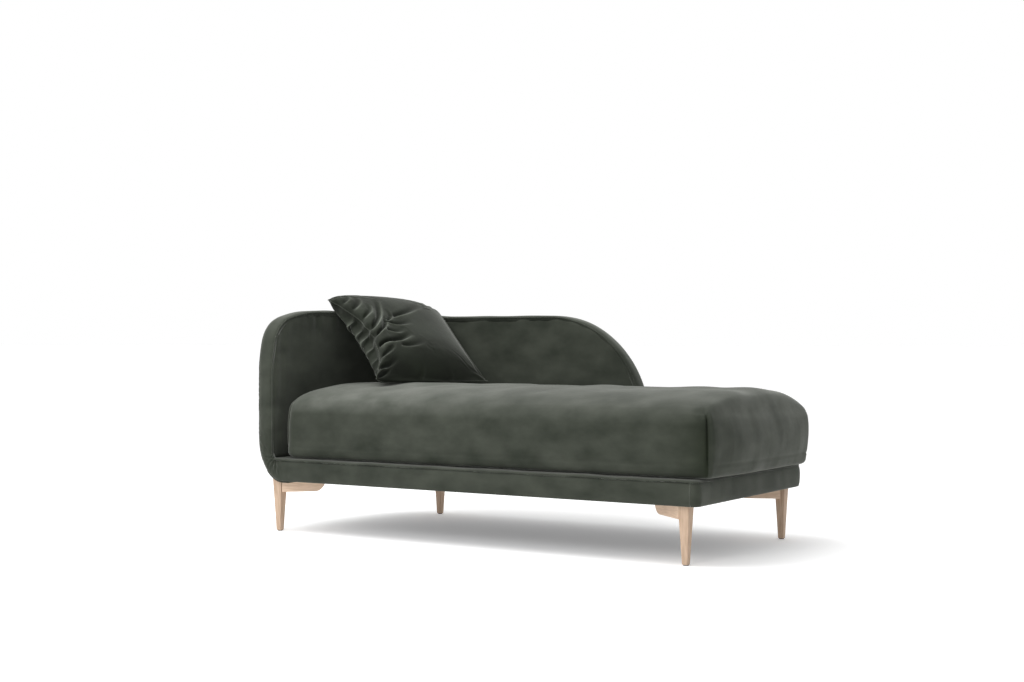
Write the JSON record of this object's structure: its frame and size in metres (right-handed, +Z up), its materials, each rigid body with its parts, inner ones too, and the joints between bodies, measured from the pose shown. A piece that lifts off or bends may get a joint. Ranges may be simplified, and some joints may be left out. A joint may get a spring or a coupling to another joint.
{
  "type": "daybed",
  "caption": "Upholstered daybed: one padded arm wraps into a low curved backrest, with a thick loose seat cushion, a loose pillow and tapered timber legs.",
  "frame": {"origin": "on the floor, under the middle of the overall length and depth", "axes": "+X along the length to the open foot end, -X to the arm, -Y to the open front, +Y to the backrest, +Z up"},
  "size_m": [1.81, 0.855, 0.8542],
  "materials": {
    "velvet": "short-pile velvet, soft sheen",
    "pale_oak": "whitewashed, matt lacquer",
    "foam": "cut foam",
    "fibre": "soft fibre wadding",
    "softwood": "planed",
    "plywood": "sanded",
    "steel": "zinc plated",
    "felt": "pressed felt",
    "dust_cloth": "spun-bonded cloth",
    "glide": "hard felted plastic",
    "zip_tape": "woven tape",
    "zip_metal": "dark satin"
  },
  "bodies": {
    "frame": {"arm_board": "plywood", "arm_end_former": "softwood", "arm_foam": "foam", "back_board": "plywood", "back_foam": "foam", "back_rail": "softwood", "base_border_cover": "velvet", "base_padding_arm": "foam", "base_padding_back": "foam", "base_padding_corner": "foam", "base_padding_foot": "foam", "base_padding_front": "foam", "board_screws": "steel", "corner_block": "softwood", "corner_board": "plywood", "corner_foam": "foam", "cross_rails": "softwood", "deck_cover": "velvet", "deck_felt": "felt", "deck_foam": "foam", "dust_cover": "dust_cloth", "foot_glides": "glide", "foot_rail": "softwood", "front_rail": "softwood", "leg_bolts": "steel", "leg_bracket_back_left": "pale_oak", "leg_bracket_back_right": "pale_oak", "leg_bracket_front_left": "pale_oak", "leg_bracket_front_right": "pale_oak", "leg_dowels": "softwood", "leg_mount_boards": "plywood", "leg_post_back_left": "pale_oak", "leg_post_back_right": "pale_oak", "leg_post_front_left": "pale_oak", "leg_post_front_right": "pale_oak", "leg_tee_nuts": "steel", "post_bolts": "steel", "spring_clips": "steel", "wall_border_cover": "velvet", "wall_inner_cover": "velvet", "wall_outer_cover": "velvet", "wall_posts": "softwood", "zigzag_springs": "steel"},
    "seat": {"seat_core": "foam", "seat_cover": "velvet", "seat_wrap": "fibre", "seat_zip_chain": "zip_metal", "seat_zip_tape": "zip_tape"},
    "pillow": {"pillow_cover": "velvet", "pillow_filling": "fibre", "pillow_zip_chain": "zip_metal", "pillow_zip_tape": "zip_tape"},
    "seat_zip": {"seat_zip_slider": "zip_metal"},
    "seat_pull": {"seat_zip_pull": "zip_metal"},
    "pillow_zip": {"pillow_zip_slider": "zip_metal"},
    "pillow_pull": {"pillow_zip_pull": "zip_metal"}
  },
  "joints": [
    {"name": "seat_lift", "type": "slide", "parent": "frame", "child": "seat", "axis": [0, 0, 1], "range_m": [0, 0.55]},
    {"name": "pillow_lift", "type": "slide", "parent": "seat", "child": "pillow", "axis": [0, 0, 1], "range_m": [0, 0.4]},
    {"name": "seat_zip_run", "type": "slide", "parent": "seat", "child": "seat_zip", "axis": [-1, 0, 0], "range_m": [0, 1.28]},
    {"name": "seat_pull_swing", "type": "hinge", "parent": "seat_zip", "child": "seat_pull", "pos_m": [0.787, 0.3622, 0.314], "axis": [0, 0, -1], "range_deg": [0, 165]},
    {"name": "pillow_zip_run", "type": "slide", "parent": "pillow", "child": "pillow_zip", "axis": [0.3725, 0.9261, -0.059], "range_m": [0, 0.32]},
    {"name": "pillow_pull_swing", "type": "hinge", "parent": "pillow_zip", "child": "pillow_pull", "pos_m": [-0.83676, 0.00284, 0.84802], "axis": [0.5848, -0.1849, 0.7898], "range_deg": [0, 165]}
  ]
}
